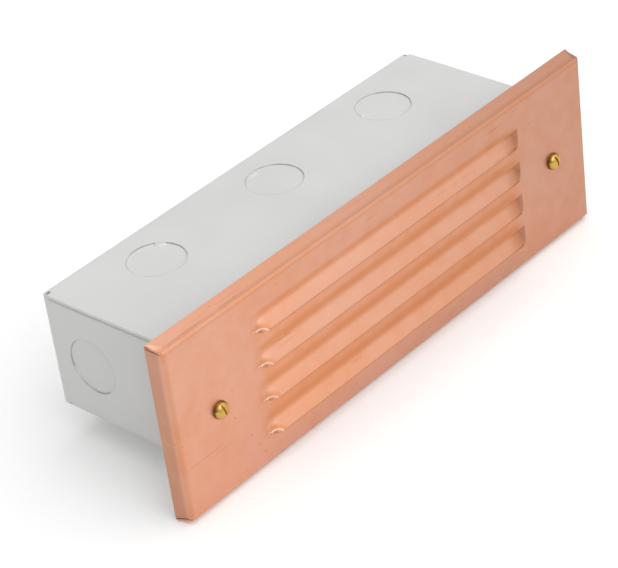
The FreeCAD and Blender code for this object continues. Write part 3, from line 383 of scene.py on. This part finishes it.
# ------------------------------------------------------------------ reflector tray
# Sheet folded into a trough and enamelled in a glossier white than the box, so that it throws
# the lamps' light forward. Two screws hold it on its posts.

enamel, enamel_shader, seat = finish_named("enamel", Specular_IOR_Level=0.5, Coat_Weight=0.4,
                                           Coat_Roughness=0.12)
flow = noise(seat, 120.0, 2.0)
paint(enamel_shader,
      Base_Color=flow.between(0.3, 0.7).tint((0.80, 0.80, 0.79), (0.84, 0.84, 0.83)),
      Roughness=flow.between(0.3, 0.7, 0.18, 0.28),
      Normal=relief(flow, 0.05 * MM, 0.3))
clothe(enamel, "reflector_tray")


# ------------------------------------------------------------------ lampholders
# Moulded heat-resistant plastic, nearly black, with sprung brass leaves inside and four tubular
# aluminium rivets through the feet.

phenolic, phenolic_shader, seat = finish_named("phenolic", Specular_IOR_Level=0.4)
flecks = noise(seat, 1500.0, 2.0)
paint(phenolic_shader,
      Base_Color=flecks.between(0.55, 0.75).tint((0.020, 0.018, 0.016), (0.045, 0.038, 0.032)),
      Roughness=flecks.between(0.3, 0.7, 0.38, 0.52),
      Normal=relief(flecks, 0.03 * MM, 0.3))
clothe(phenolic, "lampholder_left", "lampholder_right")

brass, brass_shader, seat = finish_named("brass", Metallic=1.0)
tarnish = noise(seat, 420.0, 4.0)
lathe_marks = noise(seat, 900.0, 2.0, stretch=(1, 4, 1))
paint(brass_shader,
      Base_Color=tarnish.between(0.35, 0.7).tint((0.62, 0.42, 0.13), (0.42, 0.26, 0.07)),
      Roughness=tarnish.between(0.3, 0.7, 0.26, 0.42),
      Normal=relief(lathe_marks, 0.02 * MM, 0.3))
clothe(brass, "holder_contacts_left", "holder_contacts_right", "terminal_tubes")

aluminium, aluminium_shader, seat = finish_named("aluminium", Metallic=1.0)
dulled = noise(seat, 500.0, 3.0)
paint(aluminium_shader,
      Base_Color=dulled.between(0.3, 0.7).tint((0.70, 0.71, 0.72), (0.78, 0.79, 0.80)),
      Roughness=dulled.between(0.3, 0.7, 0.3, 0.45))

# A tubular rivet is one turned skin: down its open bore, over the curled front head, along the
# shank and round the back head.

RIVET_ROWS, BORE_DEPTH, RIVET, RIVET_HEIGHT = 48, 0.6, 2.2 * MM, 0.8 * MM
rivet_tree, given = growth("tubular_rivet", "Head", "Height", "Shank", "Bore", "Length")
bottom_row, wall_row, curl_row, foot_row, neck_row, stem_row, back_row = (
    row / RIVET_ROWS for row in (2, 8, 24, 26, 29, 30, 46))
sheet, around, along = flat_sheet(rivet_tree, RIVET_ROWS, 24)
curl = along.ramp(wall_row, curl_row, 0.0, math.pi)
back = along.ramp(stem_row, back_row, 0.0, math.pi / 2)
half_ring = (given["Head"] - given["Bore"]) / 2
step = given["Head"] - given["Shank"]
bore_depth = given["Length"] * BORE_DEPTH
reach = along.ramp(0.0, bottom_row, 0.0, given["Bore"]) + half_ring * (1.0 - curl.maths("COSINE", curl))
reach = reach - along.ramp(curl_row, foot_row, 0.0, step) + along.ramp(neck_row, stem_row, 0.0, step)
depth = bore_depth - along.ramp(bottom_row, wall_row, 0.0, bore_depth)
depth = depth - given["Height"] * curl.maths("SINE", curl)
depth = depth + along.ramp(foot_row, stem_row, 0.0, given["Length"])
depth = depth + given["Height"] * back.maths("SINE", back)
spread(rivet_tree, wrapped(sheet, around, reach * back.maths("COSINE", back), depth), given)

low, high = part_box("holder_rivets")
grow("rivets", rivet_tree, "housing", "aluminium_rivet",
     four_places("holder_rivets", RIVET, low.y + RIVET_HEIGHT), ["holder_rivets"], Finish=aluminium,
     Head=RIVET, Height=RIVET_HEIGHT, Shank=1.4 * MM, Bore=0.8 * MM,
     Length=high.y - low.y - 2 * RIVET_HEIGHT)


# ------------------------------------------------------------------ lamps
# Wedge-base lamps: a blown bulb on a pinched base, a filament on two posts and two contact wires
# folded against the base.

bulb_glass, glass_shader, seat = finish_named("bulb_glass", Transmission_Weight=1.0, IOR=1.5)
ripple = noise(seat, 80.0, 1.0)
paint(glass_shader,
      Base_Color=ripple.between(0.3, 0.7).tint((0.93, 0.95, 0.95), (0.97, 0.98, 0.98)),
      Roughness=ripple.between(0.3, 0.7, 0.02, 0.05))
clothe(bulb_glass, "lamp_glass_left", "lamp_glass_right")

tungsten, tungsten_shader, seat = finish_named("tungsten", Metallic=1.0)
drawn = noise(seat, 2500.0, 2.0)
paint(tungsten_shader,
      Base_Color=drawn.between(0.3, 0.7).tint((0.18, 0.18, 0.19), (0.30, 0.30, 0.31)),
      Roughness=drawn.between(0.3, 0.7, 0.35, 0.5))

# The wire is wound into an even coil whose two ends are clamped in the tips of the posts. The
# coil's middle is the place, and Way says to which side of it the posts stand.

COIL, WIRE, WINDINGS, POST, POST_HALF = 0.6 * MM, 0.11 * MM, 11.0, 0.29 * MM, 2.6 * MM
coil_tree, given = growth("filament", "Reach", "Way")


def drawn_wire(line, sides, radius):
    """A round wire with closed ends, drawn along a line."""
    section = line.made("GeometryNodeCurvePrimitiveCircle", {"mode": "RADIUS"}, _0=sides, Radius=radius)
    return line.made("GeometryNodeCurveToMesh", Curve=line, Profile_Curve=section, Fill_Caps=True)


spiral = given["Way"].made("GeometryNodeCurveSpiral", Resolution=18, Rotations=WINDINGS,
                           Start_Radius=COIL - WIRE, End_Radius=COIL - WIRE, Height=2 * POST_HALF)
wires = [spiral.made("GeometryNodeTransform", Geometry=drawn_wire(spiral, 8, WIRE),
                     Translation=(0.0, 0.0, -POST_HALF))]
for level in (-POST_HALF, POST_HALF):
    line = spiral.made("GeometryNodeCurvePrimitiveLine", Start=(0.0, 0.0, level),
                       End=spiral.made("CombineXYZ", X=given["Reach"], Z=level))
    wires.append(drawn_wire(line, 16, POST))
joined = spiral.made("GeometryNodeJoinGeometry")
for wire in wires:
    coil_tree.links.new(wire.source, joined.source.node.inputs[0])
spread(coil_tree, spiral.made("GeometryNodeTransform", Geometry=joined,
                              Scale=spiral.made("CombineXYZ", X=given["Way"], Y=1.0, Z=1.0)), given)
for side, way in (("left", -1.0), ("right", 1.0)):
    low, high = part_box("lamp_filament_" + side)
    middle_x = high.x - COIL if side == "left" else low.x + COIL
    grow("filament_coil_" + side, coil_tree, "lamp_" + side, "tungsten",
         [(middle_x, (low.y + high.y) / 2, 0.0)], ["lamp_filament_" + side], Finish=tungsten,
         Reach=high.x - low.x - COIL, Way=way)

tinned, tinned_shader, seat = finish_named("tinned", Metallic=1.0)
dips = noise(seat, 1200.0, 2.0)
paint(tinned_shader,
      Base_Color=dips.between(0.3, 0.7).tint((0.55, 0.55, 0.56), (0.66, 0.66, 0.67)),
      Roughness=dips.between(0.3, 0.7, 0.25, 0.4))
clothe(tinned, "lamp_contacts_left", "lamp_contacts_right")


# ------------------------------------------------------------------ terminal block and leads
# A two-pole nylon block screwed down under the tray, and four silicone-insulated leads from it
# to the holders.

nylon, nylon_shader, seat = finish_named("nylon", Specular_IOR_Level=0.4, Subsurface_Weight=0.1,
                                         Subsurface_Scale=2.0 * MM)
cloud = noise(seat, 300.0, 2.0)
paint(nylon_shader,
      Base_Color=cloud.between(0.3, 0.7).tint((0.72, 0.71, 0.64), (0.78, 0.77, 0.71)),
      Roughness=cloud.between(0.3, 0.7, 0.4, 0.5))
clothe(nylon, "terminal_block")

for colour, dark, pale in (("black", (0.012, 0.012, 0.012), (0.035, 0.035, 0.035)),
                           ("white", (0.74, 0.74, 0.72), (0.80, 0.80, 0.78))):
    silicone, silicone_shader, seat = finish_named(colour + "_silicone", Specular_IOR_Level=0.35)
    bloom = noise(seat, 800.0, 3.0)
    paint(silicone_shader,
          Base_Color=bloom.between(0.4, 0.7).tint(dark, pale),
          Roughness=bloom.between(0.3, 0.7, 0.45, 0.6))
    clothe(silicone, "leads_" + colour)


# ------------------------------------------------------------------ gasket and lens
# Closed-cell foam squeezed between the box's edge and a frosted sheet that spreads the light.
# The faceplate holds both.

foam, foam_shader, seat = finish_named("foam", Specular_IOR_Level=0.2)
cells = seat.made("TexVoronoi", {"feature": "F1"}, Vector=seat, Scale=1800.0)
paint(foam_shader,
      Base_Color=cells.between(0.1, 0.7).tint((0.035, 0.035, 0.037), (0.075, 0.075, 0.078)),
      Roughness=cells.between(0.0, 1.0, 0.75, 0.9),
      Normal=relief(cells, 0.1 * MM, 0.6))
clothe(foam, "gasket")

frosted, frosted_shader, seat = finish_named("frosted", Specular_IOR_Level=0.4, Subsurface_Weight=0.15,
                                             Subsurface_Scale=3.0 * MM)
etched = noise(seat, 1400.0, 2.0)
paint(frosted_shader,
      Base_Color=etched.between(0.3, 0.7).tint((0.76, 0.77, 0.76), (0.82, 0.83, 0.82)),
      Roughness=etched.between(0.3, 0.7, 0.5, 0.65),
      Normal=relief(etched, 0.03 * MM, 0.4))
clothe(frosted, "diffuser_lens")


# ------------------------------------------------------------------ faceplate
# Copper sheet pressed into a pan and lanced into four hoods, left bare with a satin face: pinkish, with
# faint drawing marks. Painted shade warms and darkens the creases, the strips under the lips and the bends,
# and painted light brightens the hoods' bands.

PINK, ORANGE = (0.715, 0.375, 0.262), (0.715, 0.300, 0.145)
BROWN, GLINT_COLOUR = (0.36, 0.125, 0.045), (1.0, 0.80, 0.70)
PLATE_FACE = -77.3 * MM
copper, copper_shader, seat = finish_named("copper", Metallic=1.0)
across, outward, height = (seat.part(axis) for axis in range(3))
blotch = noise(seat, 22.0, 3.0)
haze = noise(seat, 140.0, 4.0)
grain = noise(seat, 500.0, 3.0, stretch=(0.25, 1, 1))

# The four hoods repeat down the plate: from a crease the metal leaves the face, and the lip is
# below it; between a lip and the next crease the face is flat. HOOD is the hood's share of a pitch.
PITCH, FIRST_CREASE, LAST_LIP, HOOD = 14.4 * MM, 25.6 * MM, -28.0 * MM, 6.4 / 14.4
phase = ((FIRST_CREASE - height) / PITCH).fraction()
rows = (FIRST_CREASE - height).between(-2.0 * MM, 1.0 * MM) * (height - LAST_LIP).between(0.0, 2.0 * MM)
band = across.size().between(76.5 * MM, 68.0 * MM) * rows
# Painted shade: warmer in each crease and on the strip under each lip, a dark line just under each lip, and
# browner at each hood's right end.
crease_shade = (phase.between(0.0, 0.16, 1.0, 0.0) + phase.between(0.80, 0.98)) * band
flat_shade = phase.between(HOOD, HOOD + 0.06) * band
lip_shadow = phase.between(HOOD - 0.030, HOOD - 0.015) * phase.between(HOOD + 0.07, HOOD + 0.05) * band
on_hood = phase.between(0.02, 0.10) * phase.between(HOOD + 0.04, HOOD - 0.02)
end_shade = across.between(61.0 * MM, 72.8 * MM) * across.between(75.6 * MM, 74.8 * MM) * on_hood * rows

# At a hood's left end a painted highlight makes the sheared edge a bright arched line, with painted warm
# shading on the dome over it and a painted shadow under it.
ARCH_PLACE, ARCH_WIDTH, ARCH_HEIGHT = -72.3 * MM, 2.3 * MM, 2.0 * MM
from_end = (across - ARCH_PLACE) / ARCH_WIDTH
over_lip = (HOOD - phase) * (PITCH / ARCH_HEIGHT) + 0.15
from_arch = from_end.maths("SQRT", from_end * from_end + over_lip * over_lip)
arch_glint = from_arch.between(0.72, 0.90) * from_arch.between(1.06, 0.94) * over_lip.between(-0.05, 0.35) * rows
arch_glint = arch_glint * haze.between(0.35, 0.65, 0.35, 0.85)
cap_shade = from_arch.between(1.0, 1.15) * from_arch.between(2.0, 1.3) * over_lip.between(0.1, 0.5) * rows
wedge_shadow = from_arch.between(0.80, 0.70) * over_lip.between(-0.1, 0.2) * from_end.between(0.5, -0.2) * rows

# Along the plate's outline the sheet bends back and painted shade darkens the bends; fine scratches and
# specks lie over it all.
bend_shade = height.size().between(34.0 * MM, 35.3 * MM) + across.size().between(114.0 * MM, 115.4 * MM)
bend_shade = bend_shade * outward.between(PLATE_FACE + 1.7 * MM, PLATE_FACE + 1.1 * MM)
scored = noise(seat, 1100.0, 1.0, stretch=(0.02, 1.0, 1.0))
scratches = scored.between(0.66, 0.74) * noise(seat, 90.0, 1.0).between(0.5, 0.65)
specks = noise(seat, 950.0, 0.0).between(0.83, 0.87) * noise(seat, 60.0, 1.0).between(0.52, 0.62)

# Random blotches of tone, with the painted shade above, and the hoods toned warmer towards the bottom.
tone_and_shade = (blotch * 0.6 + haze * 0.4).between(0.35, 0.65, 0.0, 0.35) + crease_shade * 0.8 + flat_shade * 0.45 + bend_shade * 0.25
tone_and_shade = tone_and_shade + cap_shade * 0.7 + band * height.between(-22.0 * MM, 14.0 * MM, 0.30, 0.0)
# Painted light and shade scale the colour: darker towards the right end and on the end rims, brighter on the
# top rim and on the hoods' bands.
light_and_shade_scale = across.ramp(-0.09, 0.117, 1.0, 0.80) * across.size().between(115.9 * MM, 116.5 * MM, 1.0, 0.76)
light_and_shade_scale = light_and_shade_scale * height.between(35.9 * MM, 36.4 * MM, 1.0, 1.16)
light_and_shade_scale = light_and_shade_scale * (1.0 + band * (0.05 + phase.between(0.12, 0.36, 0.0, 0.10) * phase.between(HOOD + 0.02, HOOD)))
metal = tone_and_shade.maths("MINIMUM", tone_and_shade, 1.0).tint(PINK, ORANGE)
metal = light_and_shade_scale.made("VectorMath", {"operation": "SCALE"}, Vector=metal, Scale=light_and_shade_scale)
# Scratches and specks, with painted shade at the hoods' right ends, under the arches, along the bends and in
# the creases.
marks_and_shade = scratches * 0.35 + specks * 0.6 + end_shade * 0.7 + wedge_shadow * 0.55 + bend_shade * 0.13 + crease_shade * 0.16
paint(copper_shader,
      Base_Color=arch_glint.tint((marks_and_shade + lip_shadow * 0.50).tint(metal, BROWN), GLINT_COLOUR),
      Roughness=haze.between(0.3, 0.7, 0.34, 0.44) - scratches * 0.08,
      Normal=relief(grain - scratches * 0.6, 0.03 * MM, 0.3))
clothe(copper, "faceplate")


# ------------------------------------------------------------------ face screws
# Turned brass round-head screws with a milled driver slot and a rolled 8-32 thread, which draw the
# plate onto the ears. Random grime darkens the heads, and painted shade darkens their feet against the plate.

gilt, gilt_shader, seat = finish_named("gilt", Metallic=0.95)
foot_shade = seat.part(1).between(PLATE_FACE - 1.6 * MM, PLATE_FACE - 0.7 * MM)
grime = noise(seat, 900.0, 3.0)
turned_marks = noise(seat, 1400.0, 2.0, stretch=(1, 5, 1))
grime_and_foot_shade = foot_shade * 0.75 + grime.between(0.55, 0.8) * 0.5
paint(gilt_shader,
      Base_Color=grime_and_foot_shade.tint((0.60, 0.38, 0.10), (0.16, 0.07, 0.02)),
      Roughness=grime.between(0.3, 0.7, 0.14, 0.28) + foot_shade * 0.12,
      Normal=relief(turned_marks, 0.02 * MM, 0.3))
for side in ("left", "right"):
    low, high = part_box("face_screw_" + side)
    grow("brass_screw_" + side, screw_tree, "face_screw_" + side, "brass",
         [((low.x + high.x) / 2, PLATE_FACE, (low.z + high.z) / 2)], ["face_screw_" + side], Finish=gilt,
         Head=3.44 * MM, Height=2.9 * MM, Fullness=1.0, Shank=2.05 * MM, Length=high.y - PLATE_FACE,
         Pitch=0.79375 * MM, Slot=0.9 * MM, Slot_depth=1.2 * MM, Turn=math.radians(76.0))


# ------------------------------------------------------------------ studio
# A white, faintly glowing floor, a large soft source above and a small one in front to the left,
# and a surround that is brightest above and in front.

FLOOR_HALF, FLOOR_GAP = 6.0, 0.2 * MM
floor_level = cad_box[0].z - FLOOR_GAP
floor_mesh = bpy.data.meshes.new("floor")
floor_mesh.from_pydata([(x * FLOOR_HALF, y * FLOOR_HALF, floor_level)
                        for x, y in ((-1, -1), (1, -1), (1, 1), (-1, 1))], [], [(0, 1, 2, 3)])
floor = bpy.data.objects.new("floor", floor_mesh)
bpy.context.scene.collection.objects.link(floor)
floor_paint = finish_named("floor_paint", Roughness=0.9, Specular_IOR_Level=0.0,
                           Base_Color=(0.92, 0.92, 0.92), Emission_Strength=0.13,
                           Emission_Color=(1.0, 1.0, 1.0))[0]
floor_mesh.materials.append(floor_paint)

surround = bpy.data.worlds.new("surround")
surround.use_nodes = True
backdrop = surround.node_tree.nodes["Background"]
way = Socket(surround.node_tree, None).made("TexCoord", out=0)
strength = 0.12 + 0.34 * way.part(0) - 0.72 * way.part(1) + 1.05 * way.part(2)
feed(surround.node_tree, backdrop.inputs["Strength"], strength.maths("MAXIMUM", strength, 0.10))
backdrop.inputs["Color"].default_value = (1.0, 1.0, 1.0, 1.0)
bpy.context.scene.world = surround

AIM = Vector((0.0, -0.035, 0.0))
for name, place, size, power in (("top_light", (-0.1, 0.0, 1.8), 2.0, 6.0),
                                 ("front_light", (-0.3, -1.0, 1.0), 0.8, 2.0)):
    source = bpy.data.lights.new(name, "AREA")
    source.shape = "SQUARE"
    source.size = size
    source.energy = power
    stand = bpy.data.objects.new(name, source)
    bpy.context.scene.collection.objects.link(stand)
    stand.location = place
    stand.rotation_mode = "QUATERNION"
    stand.rotation_quaternion = (AIM - Vector(place)).to_track_quat("-Z", "Y")

bpy.context.scene.view_settings.view_transform = "Standard"
